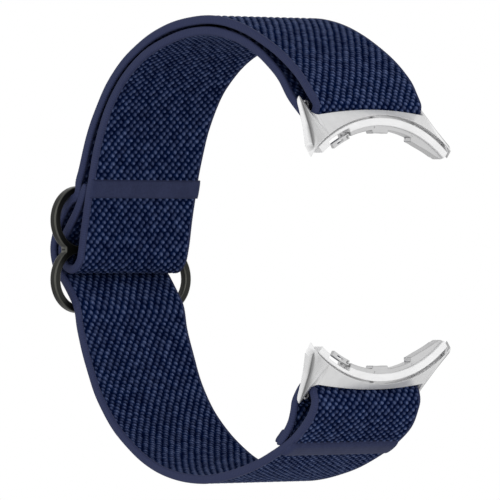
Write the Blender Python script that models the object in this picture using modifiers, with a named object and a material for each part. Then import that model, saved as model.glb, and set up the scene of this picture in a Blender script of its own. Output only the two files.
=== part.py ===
"""Elastic loop band for a round-cased fitness tracker: one length of woven elastic webbing
run through a two-ring slider, with a metal adapter on a spring bar at each end.

Frame: metres. +X points out of the front, through the open side where the tracker case sits,
+Y runs across the band's width, +Z is the twelve-o'clock side. The origin is the centre of the
round case that the two adapters close on. Lengths below are in millimetres.
"""

import math

import bmesh
import bpy
from mathutils import Matrix, Vector

MM = 0.001

# ---- driving dimensions, mm -------------------------------------------------------------------
BAND_WIDTH = 21.5          # webbing, edge to edge
WEB_THICK = 1.2            # webbing body
FACE_INSET = 0.1           # the solid lies this far inside the webbing's outer face
CASE_RIM_RADIUS = 20.5     # arc that both adapters follow round the tracker case
RAIL_RADIUS = 20.1         # outside of the locking rail, a hair inside the shell
BAR_X, BAR_Z = -5.75, 22.0  # spring bar axis (mirrored below for the lower adapter)
BARREL_RADIUS = 0.75
BARREL_BORE = 0.57
BARREL_HALF = 10.75
TIP_RADIUS = 0.25
TIP_HEAD = 0.42
TIP_REACH = 11.55          # how far out the bar's tips stand when seated
TIP_TRAVEL = 0.7
WRAP_RADIUS = 2.15         # webbing's outer face round the spring bar
FOLD_SLACK = 0.8           # how far the fold stands forward of a tight turn round the bar
SLIDER_X = -62.76
SLIDER_HALF = 14.05        # half the slider's overall width
RING_RADIUS = 5.35         # outer radius of each ring's round ends
RING_OFFSET = 4.7          # ring centres above and below the centre bar
RING_WIRE = 1.2
SLIDER_THICK = 1.3
CUSP_HALF, CUSP_REACH = 0.45, 11.9   # filled notch where the two rings meet
FLEX_GAP_TOP = 0.8         # break between webbing solids at the two-layer flex line
FLEX_GAP_LOW = 0.4
FLEX_X_TOP, FLEX_Z_TOP = -29.2, 34.65
FLEX_X_LOW, FLEX_Z_LOW = -30.4, -35.5

# ---- webbing routes: waypoints (x, z) along one face of the webbing ------------------------------
# Outer face, from the flex line over the top, down the back, round the slider, to the low flex line.
THROUGH_ROUTE = (
    (-24.7, 35.73), (-29.2, 36.18), (-35.4, 35.7), (-40.3, 34.55), (-45.1, 32.55),
    (-49.6, 29.7), (-53.0, 26.5), (-56.3, 21.9), (-58.65, 17.3), (-60.2, 12.8),
    (-60.95, 10.8), (-61.5, 9.2), (-62.4, 8.15), (-63.9, 6.85), (-65.5, 5.0), (-66.8, 2.6),
    (-67.35, 0.0), (-66.6, -2.9), (-64.5, -5.4), (-62.55, -7.8), (-61.5, -9.4), (-60.5, -12.9),
    (-58.65, -18.0), (-56.3, -22.8), (-52.6, -27.5),
    (-48.0, -31.2), (-42.7, -34.1), (-36.6, -35.75), (-30.6, -36.2), (-26.0, -35.8),
)
# Wrist-side face of the inner layer, round the slider's centre bar and back up to its sewn end.
LOOP_ROUTE = (
    (-25.27, 32.63), (-29.2, 33.1), (-34.9, 32.67), (-42.2, 30.5), (-46.1, 28.35),
    (-49.7, 25.3), (-52.1, 22.2), (-53.9, 18.9), (-55.2, 15.6), (-56.2, 12.3), (-57.0, 9.2),
    (-57.7, 6.2), (-58.35, 3.1), (-58.95, 0.0), (-59.6, -2.1), (-60.8, -3.4), (-62.2, -3.8),
    (-63.7, -3.35), (-64.9, -2.1), (-65.3, 0.0), (-64.7, 2.1), (-63.3, 4.1), (-61.4, 6.5),
    (-60.1, 8.9), (-59.3, 10.6),
)
# Outside of the upper fold: outer layer, then round the spring bar, then the inner layer back.
UPPER_OUT = (
    (-33.5, 35.95), (-29.2, 36.18), (-24.7, 35.73), (-20.0, 34.5), (-15.3, 32.5),
    (-10.6, 29.85), (-7.0, 27.1), (-4.4, 24.5),
)
UPPER_BACK = (
    (-9.75, 22.8), (-12.1, 25.8), (-14.8, 28.1), (-17.3, 29.75), (-21.0, 31.5),
    (-25.27, 32.63), (-29.2, 33.1), (-33.5, 32.85),
)
# Outside of the lower fold: main layer, round the spring bar, then the short sewn return.
LOWER_OUT = (
    (-35.0, -35.95), (-30.6, -36.2), (-26.8, -35.9), (-22.3, -35.05), (-17.6, -33.75),
    (-13.2, -32.0), (-9.4, -30.0), (-6.5, -27.4), (-4.3, -24.6),
)
LOWER_BACK = ((-8.95, -22.9), (-9.3, -24.4), (-9.8, -25.9), (-10.9, -27.4), (-12.3, -28.7))

SEAM_PROUD = 0.75
SEAM_LENGTH = 3.0

# ---- collections and materials ------------------------------------------------------------------
for old in list(bpy.data.objects):
    bpy.data.objects.remove(old, do_unlink=True)

PARTS = bpy.data.collections.new("tracker_band")
CUTTERS = bpy.data.collections.new("cutters")
bpy.context.scene.collection.children.link(PARTS)
bpy.context.scene.collection.children.link(CUTTERS)


def material(name, colour, roughness, metallic=0.0):
    made = bpy.data.materials.new(name)
    made.use_nodes = True
    shader = made.node_tree.nodes["Principled BSDF"]
    shader.inputs["Base Color"].default_value = (*colour, 1.0)
    shader.inputs["Roughness"].default_value = roughness
    shader.inputs["Metallic"].default_value = metallic
    made.diffuse_color = (*colour, 1.0)
    return made


NAVY = material("navy_webbing", (0.010, 0.022, 0.085), 0.85)
SEAM = material("navy_seam", (0.028, 0.032, 0.092), 0.6)
GUNMETAL = material("gunmetal", (0.045, 0.045, 0.043), 0.38, 0.9)
SILVER = material("polished_steel", (0.78, 0.78, 0.79), 0.2, 1.0)
RAIL_STEEL = material("satin_steel", (0.62, 0.62, 0.63), 0.35, 1.0)
SPRING_STEEL = material("spring_steel", (0.5, 0.5, 0.5), 0.3, 1.0)


def add_object(name, mesh, mat, collection=PARTS):
    made = bpy.data.objects.new(name, mesh)
    collection.objects.link(made)
    mesh.materials.clear()
    mesh.materials.append(mat)
    return made


def shade(obj, degrees=35.0):
    obj.data.shade_smooth()
    obj.data.set_sharp_from_angle(angle=math.radians(degrees))


# ---- curves through waypoints -------------------------------------------------------------------
def smooth_route(points, spacing):
    """Centripetal Catmull-Rom curve through the waypoints, read at even steps along its length."""
    pts = [Vector((p[0], p[1])) for p in points]
    pts = [2 * pts[0] - pts[1], *pts, 2 * pts[-1] - pts[-2]]
    dense = []
    for i in range(1, len(pts) - 2):
        p0, p1, p2, p3 = pts[i - 1: i + 3]
        t0 = 0.0
        t1 = t0 + (p1 - p0).length ** 0.5
        t2 = t1 + (p2 - p1).length ** 0.5
        t3 = t2 + (p3 - p2).length ** 0.5
        for k in range(24):
            t = t1 + (t2 - t1) * k / 24
            a1 = p0.lerp(p1, (t - t0) / (t1 - t0))
            a2 = p1.lerp(p2, (t - t1) / (t2 - t1))
            a3 = p2.lerp(p3, (t - t2) / (t3 - t2))
            b1 = a1.lerp(a2, (t - t0) / (t2 - t0))
            b2 = a2.lerp(a3, (t - t1) / (t3 - t1))
            dense.append(b1.lerp(b2, (t - t1) / (t2 - t1)))
    dense.append(pts[-2])
    return even_steps(dense, spacing)


def even_steps(dense, spacing):
    lengths = [0.0]
    for a, b in zip(dense, dense[1:]):
        lengths.append(lengths[-1] + (b - a).length)
    count = max(2, round(lengths[-1] / spacing))
    out, j = [], 0
    for k in range(count + 1):
        want = lengths[-1] * k / count
        while j < len(dense) - 2 and lengths[j + 1] < want:
            j += 1
        span = lengths[j + 1] - lengths[j]
        out.append(dense[j].lerp(dense[j + 1], (want - lengths[j]) / span if span else 0.0))
    return out


def side_normals(points):
    """Unit normal on the left of the direction of travel, at each point."""
    normals = []
    for i, p in enumerate(points):
        ahead = points[min(i + 1, len(points) - 1)] - points[max(i - 1, 0)]
        ahead.normalize()
        normals.append(Vector((-ahead.y, ahead.x)))
    return normals


def offset(points, depth):
    return [p + n * depth for p, n in zip(points, side_normals(points))]


def cut_at(points, plane_point, keep_negative):
    """Keeps the run of points on one side of a plane x = const, ending exactly on it."""
    kept = []
    for a, b in zip(points, points[1:] + [None]):
        side_a = (a.x < plane_point) == keep_negative
        if side_a:
            kept.append(a)
        if b is not None and ((b.x < plane_point) == keep_negative) != side_a:
            kept.append(a.lerp(b, (plane_point - a.x) / (b.x - a.x)))
    return kept


def webbing(name, centre, thickness, half_width, mat, body_parent=None):
    """An open ribbon across the band's width, given its thickness with Solidify."""
    mesh = bpy.data.meshes.new(name)
    bm = bmesh.new()
    rows = []
    for p in centre:
        rows.append([bm.verts.new((p.x * MM, y * MM, p.y * MM)) for y in (-half_width, half_width)])
    for a, b in zip(rows, rows[1:]):
        bm.faces.new((a[0], a[1], b[1], b[0]))
    bmesh.ops.recalc_face_normals(bm, faces=bm.faces)
    bm.to_mesh(mesh)
    bm.free()
    obj = add_object(name, mesh, mat)
    shell = obj.modifiers.new("thickness", "SOLIDIFY")
    shell.thickness = thickness * MM
    shell.offset = 0.0
    shell.use_even_offset = True
    shade(obj, 40)
    return obj


def turned(name, profile, axis_point, mat, steps=16, flip=False, collection=PARTS):
    """A profile of (radius, height) turned with Screw about a line along Y through axis_point.
    The profile runs down the outer side; flip turns the piece end for end."""
    mesh = bpy.data.meshes.new(name)
    bm = bmesh.new()
    ring = [bm.verts.new((r * MM, 0.0, h * MM)) for r, h in profile]
    for a, b in zip(ring, ring[1:]):
        bm.edges.new((a, b))
    if profile[0][0] > 0 and profile[-1][0] > 0:
        bm.edges.new((ring[-1], ring[0]))
    bm.to_mesh(mesh)
    bm.free()
    obj = add_object(name, mesh, mat, collection)
    screw = obj.modifiers.new("turn", "SCREW")
    screw.axis = "Z"
    screw.steps = screw.render_steps = steps
    screw.use_merge_vertices = True
    screw.merge_threshold = 0.000001
    screw.use_smooth_shade = True
    turn = math.radians(90 if flip else -90)
    obj.matrix_world = Matrix.Translation(Vector(axis_point) * MM) @ Matrix.Rotation(turn, 4, "X")
    return obj


def flat_plate(name, outlines, x_mid, half_thick, mat, collection=PARTS):
    """Closed outlines of (y, z) filled as a 2D curve and extruded along X, returned as a mesh."""
    curve = bpy.data.curves.new(name + "_outline", "CURVE")
    curve.dimensions = "2D"
    curve.fill_mode = "BOTH"
    curve.extrude = half_thick * MM
    for outline in outlines:
        spline = curve.splines.new("POLY")
        spline.points.add(len(outline) - 1)
        spline.use_cyclic_u = True
        for point, (y, z) in zip(spline.points, outline):
            point.co = (y * MM, z * MM, 0.0, 1.0)
    holder = bpy.data.objects.new(name + "_curve", curve)
    bpy.context.scene.collection.objects.link(holder)
    # curve x -> world Y, curve y -> world Z, curve z -> world X
    holder.matrix_world = Matrix.Translation((x_mid * MM, 0, 0)) @ Matrix(
        ((0, 0, 1, 0), (1, 0, 0, 0), (0, 1, 0, 0), (0, 0, 0, 1)))
    bpy.context.view_layer.update()
    graph = bpy.context.evaluated_depsgraph_get()
    mesh = bpy.data.meshes.new_from_object(holder.evaluated_get(graph))
    mesh.name = name
    bm = bmesh.new()
    bm.from_mesh(mesh)
    bmesh.ops.remove_doubles(bm, verts=bm.verts, dist=0.000001)
    bmesh.ops.dissolve_limit(bm, angle_limit=0.001, verts=bm.verts, edges=bm.edges)
    bmesh.ops.recalc_face_normals(bm, faces=bm.faces)
    bm.to_mesh(mesh)
    bm.free()
    obj = add_object(name, mesh, mat, collection)
    obj.matrix_world = holder.matrix_world.copy()
    bpy.data.objects.remove(holder, do_unlink=True)
    return obj


def arc(radius, start_deg, end_deg, steps, centre=(0.0, 0.0)):
    """Points on a circle in the YZ plane; angles are measured from +Z towards +Y."""
    out = []
    for k in range(steps + 1):
        angle = math.radians(start_deg + (end_deg - start_deg) * k / steps)
        out.append((centre[0] + radius * math.sin(angle), centre[1] + radius * math.cos(angle)))
    return out


def boolean(obj, other, operation):
    mod = obj.modifiers.new(operation.lower(), "BOOLEAN")
    mod.operation = operation
    mod.object = other
    mod.solver = "EXACT"
    return mod


def make_cutter(obj):
    for coll in list(obj.users_collection):
        coll.objects.unlink(obj)
    CUTTERS.objects.link(obj)
    obj.hide_render = True
    obj.display_type = "WIRE"
    return obj


def rod(name, radius, start, end, mat, segments=12, collection=PARTS):
    """A straight cylinder between two points."""
    a, b = Vector(start) * MM, Vector(end) * MM
    mesh = bpy.data.meshes.new(name)
    bm = bmesh.new()
    bmesh.ops.create_cone(bm, cap_ends=True, cap_tris=False, segments=segments,
                          radius1=radius * MM, radius2=radius * MM, depth=(b - a).length)
    bm.to_mesh(mesh)
    bm.free()
    obj = add_object(name, mesh, mat, collection)
    turn = Vector((0, 0, 1)).rotation_difference((b - a).normalized())
    obj.matrix_world = Matrix.Translation((a + b) / 2) @ turn.to_matrix().to_4x4()
    shade(obj)
    return obj


# ---- webbing ------------------------------------------------------------------------------------
HALF = BAND_WIDTH / 2
MID_DEPTH = FACE_INSET + WEB_THICK / 2 + 0.0

through = smooth_route(THROUGH_ROUTE, 2.2)
# travelling from the top down the back the wrist side is on the left
through_mid = offset(smooth_route(THROUGH_ROUTE, 1.1), MID_DEPTH)
top_cut = FLEX_X_TOP - FLEX_GAP_TOP / 2
low_cut = FLEX_X_LOW - FLEX_GAP_LOW / 2
through_mid = cut_at(through_mid, top_cut, True)
through_mid = [p for p in through_mid if p.y > 0 or p.x <= low_cut + 1e-6]
upper_part = [p for p in through_mid if p.y > 0]
lower_part = cut_at([p for p in offset(smooth_route(THROUGH_ROUTE, 1.1), MID_DEPTH) if p.y <= 0],
                    low_cut, True)
through_mid = upper_part + lower_part
webbing("through_strap", through_mid, WEB_THICK, HALF, NAVY)

loop_mid = offset(smooth_route(LOOP_ROUTE, 0.85), -MID_DEPTH)
webbing("slider_loop_strap", cut_at(loop_mid, top_cut, True), WEB_THICK, HALF, NAVY)


def fold_route(out_points, back_points, sign):
    """Outside face of a fold: out along one layer, round the spring bar, back along the other."""
    turn = []
    for degrees, slack in ((12, 1), (-14, 1), (-40, 1), (-66, 1), (-90, 1), (-96, 0), (-117, 0), (-138, 0)):
        angle = math.radians(degrees)
        turn.append((BAR_X + FOLD_SLACK * slack + WRAP_RADIUS * math.cos(angle),
                     sign * (BAR_Z - 0.15 * slack + WRAP_RADIUS * math.sin(angle))))
    return smooth_route((*out_points, *turn, *back_points), 0.95)


upper_fold = offset(fold_route(UPPER_OUT, UPPER_BACK, 1), -MID_DEPTH)
webbing("upper_strap_fold", cut_at(upper_fold, FLEX_X_TOP + FLEX_GAP_TOP / 2, False),
        WEB_THICK, HALF, NAVY)
lower_fold = offset(fold_route(LOWER_OUT, LOWER_BACK, -1), MID_DEPTH)
webbing("lower_strap_fold", cut_at(lower_fold, FLEX_X_LOW + FLEX_GAP_LOW / 2, False),
        WEB_THICK, HALF, NAVY)


def seam_tape(name, route, nearest, proud_side):
    """A smooth pressed strip across a sewn end, standing on the route's face."""
    index = min(range(len(route)), key=lambda i: (route[i] - Vector(nearest)).length)
    steps = max(1, round(SEAM_LENGTH / 2 / (route[1] - route[0]).length))
    run = route[max(0, index - steps): index + steps + 1]
    face = offset(run, proud_side * (0.2 + 0.5 * (SEAM_PROUD - 0.2)))
    tape = webbing(name, face, SEAM_PROUD - 0.2, HALF + 0.15, SEAM)
    return tape


# the wrist side is on the right of the loop's wrist-side route
seam_tape("slider_seam_tape", smooth_route(LOOP_ROUTE, 0.75), (-57.0, 9.5), 1)
seam_tape("lower_seam_tape_outer", smooth_route(LOWER_OUT, 0.75), (-9.6, -29.9), -1)
seam_tape("lower_seam_tape_inner", smooth_route(LOWER_BACK, 0.75), (-11.3, -27.8), -1)

# ---- slider: two rings sharing a centre bar ----------------------------------------------------
def ring_outline(half_width, radius, centre_z, steps=10):
    reach = half_width - radius
    right = [(reach + radius * math.sin(math.radians(a)), centre_z + radius * math.cos(math.radians(a)))
             for a in [180 * k / steps for k in range(steps + 1)]]
    return right + [(-y, z) for y, z in reversed(right)]


def figure_eight(half_width, radius, centre_z, steps=12):
    """Outer outline of two overlapping stadium rings, which meet in a cusp on each side."""
    reach = half_width - radius
    low = math.degrees(math.acos((CUSP_HALF - centre_z) / radius))
    upper = [(reach + radius * math.sin(math.radians(a)), centre_z + radius * math.cos(math.radians(a)))
             for a in [low * k / steps for k in range(steps + 1)]]
    right = upper + [(CUSP_REACH, 0.0)] + [(y, -z) for y, z in reversed(upper)]
    return right + [(-y, z) for y, z in reversed(right)]


slider = flat_plate(
    "slider_frame",
    [figure_eight(SLIDER_HALF, RING_RADIUS, RING_OFFSET),
     ring_outline(SLIDER_HALF - RING_WIRE, RING_RADIUS - RING_WIRE, RING_OFFSET),
     ring_outline(SLIDER_HALF - RING_WIRE, RING_RADIUS - RING_WIRE, -RING_OFFSET)],
    SLIDER_X, SLIDER_THICK / 2, GUNMETAL)
rounding = slider.modifiers.new("rounding", "BEVEL")
rounding.width = 0.28 * MM
rounding.segments = 1
rounding.limit_method = "ANGLE"
rounding.angle_limit = math.radians(50)
shade(slider)

# ---- adapters ------------------------------------------------------------------------------------
SHELL_STATIONS = (0.0, 2.7, 5.4, 8.1, 10.95, 11.15, 11.35, 11.6, 11.95, 12.35, 12.8, 13.35, 13.87)
PLATE_TOP = 21.35          # top edge of the plate at the middle
EAR_START = 10.95
EAR_TIP = 23.3
EAR_INNER, EAR_OUTER = 11.35, 11.6
EAR_SLOPE = ((11.6, 23.3), (11.95, 21.85), (12.8, 18.8), (13.87, 16.0))   # y, top of the ear
SHELL_HALF = 13.87


def back_line(z):
    """x of the shell's rear face at height z, from its end foot up to the ear's tip."""
    line = ((14.0, -1.3), (14.8, -1.8), (17.6, -3.5), (20.05, -5.05), (22.3, -6.55), (23.3, -7.0))
    for (za, xa), (zb, xb) in zip(line, line[1:]):
        if z <= zb:
            return xa + (xb - xa) * (z - za) / (zb - za)
    return line[-1][1]


def shell_section(y):
    """Section of the shell in XZ at distance y from the middle, for the upper adapter."""
    rim = math.sqrt(CASE_RIM_RADIUS ** 2 - y * y)
    if y <= EAR_START:
        k = (y / EAR_START) ** 2
        top = PLATE_TOP - 0.85 * k
        front = (-2.3 - 0.3 * k, top)
        back = (-2.45 - 0.3 * k, top - 0.42)
        waist = (-2.45 - 0.5 * k, (top - 0.42) * (1 - 0.5 * k) + (rim + 0.1) * 0.5 * k)
        foot = (-2.25 - 0.45 * k, rim)
        toe = (-1.2, rim)
        crown = ((front[0] + back[0]) / 2 - 0.02, top - 0.12)
        waist = (waist[0], min(waist[1], back[1] - 0.08))
        foot = (foot[0], min(foot[1], waist[1] - 0.05))
    else:
        if y <= EAR_INNER:
            top = 20.5 + (EAR_TIP - 20.5) * (y - EAR_START) / (EAR_INNER - EAR_START)
        elif y <= EAR_OUTER:
            top = EAR_TIP
        else:
            top = EAR_SLOPE[-1][1]
            for (ya, za), (yb, zb) in zip(EAR_SLOPE, EAR_SLOPE[1:]):
                if ya <= y <= yb:
                    top = za + (zb - za) * (y - ya) / (yb - ya)
        fx = -0.79 * (top - 15.6)
        thin = back_line(top - 0.35)
        front = (fx, top - 0.12)
        crown = ((fx + thin) / 2, top + 0.12)
        back = (thin, top - 0.42)
        waist_z = rim + (top - rim) * 0.45
        waist = (back_line(waist_z), waist_z)
        drop = max(0.0, (y - 12.6) / (SHELL_HALF - 12.6))
        foot = (back_line(rim) + 0.35 * drop, rim - 0.35 * drop)
        toe = (-1.0, rim - 1.25 * drop)
    return [(0.0, rim), front, crown, back, waist, foot, toe]


def shell_mesh(name, sign):
    """Loft of the shell's sections from end to end; sign mirrors it below for the lower adapter."""
    mesh = bpy.data.meshes.new(name)
    bm = bmesh.new()
    stations = [-y for y in reversed(SHELL_STATIONS)] + list(SHELL_STATIONS[1:])
    rings = []
    for y in stations:
        rings.append([bm.verts.new((x * MM, y * MM, sign * z * MM)) for x, z in shell_section(abs(y))])
    for a, b in zip(rings, rings[1:]):
        for i in range(len(a)):
            j = (i + 1) % len(a)
            bm.faces.new((a[i], a[j], b[j], b[i]))
    bm.faces.new(rings[0][::-1])
    bm.faces.new(rings[-1])
    bmesh.ops.triangulate(bm, faces=bm.faces)
    bmesh.ops.recalc_face_normals(bm, faces=bm.faces)
    bm.to_mesh(mesh)
    bm.free()
    return mesh


def flange_outline(recess):
    """Flange band of the rail, with a relief above the latch tab."""
    outer = arc(RAIL_RADIUS, -39.3, 39.3, 22)
    inner = arc(18.9, 39.3, -19.6, 16)
    relief = arc(19.55, -19.6, -33.2, 4) if recess else arc(18.9, -19.6, -33.2, 4)
    return outer + inner + relief + arc(18.9, -33.2, -39.3, 2)


def lug_outline():
    """Locking plate inside the flange, with a middle lug and a long round-ended lug."""
    outer = arc(19.95, -18.9, 39.6, 17)
    round_end = arc(1.25, 48, 215, 6, centre=(18.85 * math.sin(math.radians(40.2)), 18.85 * math.cos(math.radians(40.2))))
    long_lug = arc(17.6, 37.5, 20.3, 6)
    gap = arc(18.2, 20.0, 5.2, 4)
    middle = arc(17.72, 4.9, -4.9, 3)
    tail = arc(18.2, -5.2, -18.9, 4)
    return outer + round_end + long_lug + gap + middle + tail


def sector(r_in, r_out, start, end, steps=5):
    return arc(r_out, start, end, steps) + arc(r_in, end, start, steps)


def mirror_z(outline, sign):
    return [(y, sign * z) for y, z in outline]


def build_adapter(side, sign):
    prefix = side + "_"
    shell = add_object(prefix + "adapter_shell", shell_mesh(prefix + "adapter_shell", sign), SILVER)
    shade(shell, 28)
    for end in (-1, 1):
        hole = rod(prefix + "tip_hole_%d" % (end + 1), 0.34, (BAR_X, end * 10.9, sign * BAR_Z),
                   (BAR_X, end * 11.65, sign * BAR_Z), SILVER, 12, CUTTERS)
        boolean(shell, make_cutter(hole), "DIFFERENCE")

    rail = flat_plate(prefix + "locking_rail", [mirror_z(flange_outline(True), sign)], -1.35, 0.95, RAIL_STEEL)
    plate = flat_plate(prefix + "lug_plate", [mirror_z(lug_outline(), sign)], -1.55, 0.8, RAIL_STEEL, CUTTERS)
    boolean(rail, make_cutter(plate), "UNION")
    root_plate = flat_plate(prefix + "root_plate", [mirror_z(sector(18.2, 19.95, -23.0, -18.4), sign)],
                            -1.95, 0.35, RAIL_STEEL, CUTTERS)
    boolean(rail, make_cutter(root_plate), "UNION")
    for number, degrees in enumerate((-3.4, 20.4)):
        angle = math.radians(degrees)
        out = Vector((-0.95, math.sin(angle), sign * math.cos(angle)))
        start = (-0.95, out.y * 18.5, out.z * 18.5)
        end = (-0.95, out.y * 20.3, out.z * 20.3)
        hole = rod(prefix + "stud_hole_%d" % number, 0.42, (-0.95, out.y * 18.0, out.z * 18.0),
                   (-0.95, out.y * 21.0, out.z * 21.0), RAIL_STEEL, 10, CUTTERS)
        boolean(rail, make_cutter(hole), "DIFFERENCE")
        rod(prefix + "rail_stud_" + "ab"[number], 0.28, start, end, SPRING_STEEL, 10)
    shade(rail)

    # latch tab: a short leaf with a slot, riveted at its root in front of the lug plate
    root = math.radians(-21.6)
    root_y, root_z = 18.38 * math.sin(root), sign * 18.38 * math.cos(root)
    tab_outline = sector(17.98, 18.78, -20.6, -31.6, 7)
    slot = sector(18.22, 18.54, -24.6, -28.8, 4)
    tab = flat_plate(prefix + "latch_tab", [mirror_z(tab_outline, sign), mirror_z(slot, sign)],
                     -0.9, 0.3, SPRING_STEEL)
    hole = rod(prefix + "latch_hole", 0.26, (-0.5, root_y, root_z), (-1.35, root_y, root_z), RAIL_STEEL, 10, CUTTERS)
    boolean(tab, make_cutter(hole), "DIFFERENCE")
    rod(prefix + "latch_rivet", 0.15, (-0.5, root_y, root_z), (-1.45, root_y, root_z), SPRING_STEEL, 8)

    # spring bar: barrel, two sprung tips and the coil between them
    axis = (BAR_X, 0.0, sign * BAR_Z)
    turned(prefix + "spring_bar_barrel",
           [(BARREL_RADIUS, BARREL_HALF), (BARREL_RADIUS, -BARREL_HALF), (0.42, -BARREL_HALF),
            (0.42, -10.3), (BARREL_BORE, -10.2), (BARREL_BORE, 10.2), (0.42, 10.3), (0.42, BARREL_HALF)],
           axis, SPRING_STEEL, 16)
    for end, label in ((-1, "near"), (1, "far")):
        turned(prefix + "spring_bar_tip_" + label,
               [(0.0, TIP_REACH), (0.18, TIP_REACH), (TIP_RADIUS, TIP_REACH - 0.1), (TIP_RADIUS, 9.9),
                (TIP_HEAD, 9.85), (TIP_HEAD, 9.2), (0.0, 9.2)],
               axis, SPRING_STEEL, 12, flip=end < 0)
    coil = bpy.data.curves.new(prefix + "spring_bar_coil", "CURVE")
    coil.dimensions = "3D"
    coil.bevel_depth = 0.09 * MM
    coil.bevel_resolution = 1
    coil.use_fill_caps = True
    turns, per_turn, reach = 9, 8, 8.0
    spline = coil.splines.new("POLY")
    spline.points.add(turns * per_turn)
    for k, point in enumerate(spline.points):
        angle = 2 * math.pi * k / per_turn
        point.co = (0.36 * math.cos(angle) * MM, (-reach + 2 * reach * k / (turns * per_turn)) * MM,
                    0.36 * math.sin(angle) * MM, 1.0)
    holder = bpy.data.objects.new(prefix + "coil_curve", coil)
    bpy.context.scene.collection.objects.link(holder)
    bpy.context.view_layer.update()
    mesh = bpy.data.meshes.new_from_object(holder.evaluated_get(bpy.context.evaluated_depsgraph_get()))
    bpy.data.objects.remove(holder, do_unlink=True)
    bm = bmesh.new()
    bm.from_mesh(mesh)
    bmesh.ops.remove_doubles(bm, verts=bm.verts, dist=0.0000005)
    bmesh.ops.recalc_face_normals(bm, faces=bm.faces)
    bm.to_mesh(mesh)
    bm.free()
    spring = add_object(prefix + "spring_bar_coil", mesh, SPRING_STEEL)
    spring.location = Vector(axis) * MM
    shade(spring)


build_adapter("upper", 1)
build_adapter("lower", -1)
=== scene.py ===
import math

import bmesh
import bpy
import numpy as np
from mathutils import Matrix, Vector


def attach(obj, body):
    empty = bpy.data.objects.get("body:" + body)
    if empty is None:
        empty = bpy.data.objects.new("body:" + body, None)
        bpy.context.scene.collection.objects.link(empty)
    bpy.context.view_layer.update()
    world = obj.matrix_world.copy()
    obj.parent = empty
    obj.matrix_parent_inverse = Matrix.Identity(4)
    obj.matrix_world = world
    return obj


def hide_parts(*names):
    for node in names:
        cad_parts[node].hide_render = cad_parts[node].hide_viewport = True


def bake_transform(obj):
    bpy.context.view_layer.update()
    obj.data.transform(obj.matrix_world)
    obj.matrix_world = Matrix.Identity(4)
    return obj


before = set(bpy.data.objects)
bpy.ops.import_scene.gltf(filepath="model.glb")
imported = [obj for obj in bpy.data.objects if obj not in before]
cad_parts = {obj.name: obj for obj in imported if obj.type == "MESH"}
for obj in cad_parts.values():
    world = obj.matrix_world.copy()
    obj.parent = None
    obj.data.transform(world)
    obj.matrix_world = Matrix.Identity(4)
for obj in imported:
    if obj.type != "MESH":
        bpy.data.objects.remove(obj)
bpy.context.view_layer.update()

MM = 0.001

# ---- dimensions shared with the CAD source, mm ---------------------------------------------------
BAND_WIDTH = 21.5
HALF = BAND_WIDTH / 2
BAR_X, BAR_Z = -5.75, 22.0
WRAP_RADIUS = 2.15
FOLD_SLACK = 0.8            # how far the fold stands forward of a tight turn round the bar
SLIDER_X = -62.76
SLIDER_HALF = 14.05
RING_RADIUS = 5.35
RING_OFFSET = 4.7
RING_WIRE = 1.2
SLIDER_THICK = 1.3
CUSP_HALF, CUSP_REACH = 0.34, 11.79  # filled notch where the two rings meet
CASE_RIM_RADIUS = 20.5
RAIL_RADIUS = 20.1

# ---- webbing ------------------------------------------------------------------------------------
WEB_THICK = 1.40            # over the selvedges
REACH = (10.93, 11.0)       # centre line out to the near (-Y) and the far (+Y) edge
DRAWN_IN = 0.55             # the far edge gathers in by this much where it folds round a spring bar
SELVEDGE = (0.58, 0.34)     # width of each smooth edge
RELIEF = 0.30               # crest to valley of the weave
STEP_ALONG = 0.17           # mesh rows along the webbing
STEP_ACROSS = 0.17          # mesh columns across it
CELL_ALONG = 0.635          # one pick of the weave
CELL_ACROSS = 1.345         # one float to the next in the same pick

THROUGH_ROUTE = (
    (-24.7, 35.73), (-29.2, 36.18), (-35.4, 35.7), (-40.3, 34.55), (-45.1, 32.55),
    (-49.6, 29.7), (-53.0, 26.5), (-56.3, 21.9), (-58.65, 17.3), (-60.2, 12.8),
    (-61.05, 10.8), (-61.35, 9.05), (-62.6, 8.4), (-64.1, 7.1), (-65.6, 5.05), (-66.8, 2.6),
    (-67.35, 0.0), (-66.6, -2.9), (-64.5, -5.3), (-62.52, -7.75), (-61.43, -9.4), (-60.6, -12.9),
    (-58.65, -18.0), (-56.3, -22.8), (-52.6, -27.5),
    (-48.0, -31.2), (-42.7, -34.1), (-36.6, -35.75), (-30.6, -36.2), (-26.0, -35.8),
)
LOOP_ROUTE = (
    (-25.27, 32.63), (-29.2, 33.1), (-34.9, 32.67), (-42.2, 30.5), (-46.1, 28.35),
    (-49.7, 25.3), (-52.1, 22.2), (-53.9, 18.9), (-55.2, 15.6), (-56.2, 12.3), (-57.0, 9.2),
    (-57.7, 6.2), (-58.35, 3.1), (-58.95, 0.0), (-59.6, -2.1), (-60.8, -3.4), (-62.2, -3.8),
    (-63.7, -3.35), (-64.9, -2.1), (-65.3, 0.0), (-64.7, 2.1), (-63.3, 4.1), (-61.4, 6.5),
    (-60.1, 8.9), (-59.3, 10.6),
)
UPPER_OUT = ((-20.0, 34.5), (-15.3, 32.5), (-10.6, 29.85), (-7.0, 27.1), (-4.6, 24.55))
UPPER_BACK = ((-9.75, 22.8), (-12.1, 25.8), (-14.8, 28.1), (-17.3, 29.75), (-21.0, 31.5))
LOWER_OUT = ((-22.3, -35.05), (-17.6, -33.75), (-13.2, -32.0), (-9.1, -29.95), (-5.95, -27.6),
             (-3.85, -25.2))
LOWER_BACK = ((-8.95, -22.9), (-9.3, -24.4), (-9.9, -26.1), (-11.0, -27.65), (-12.6, -29.2))


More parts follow.
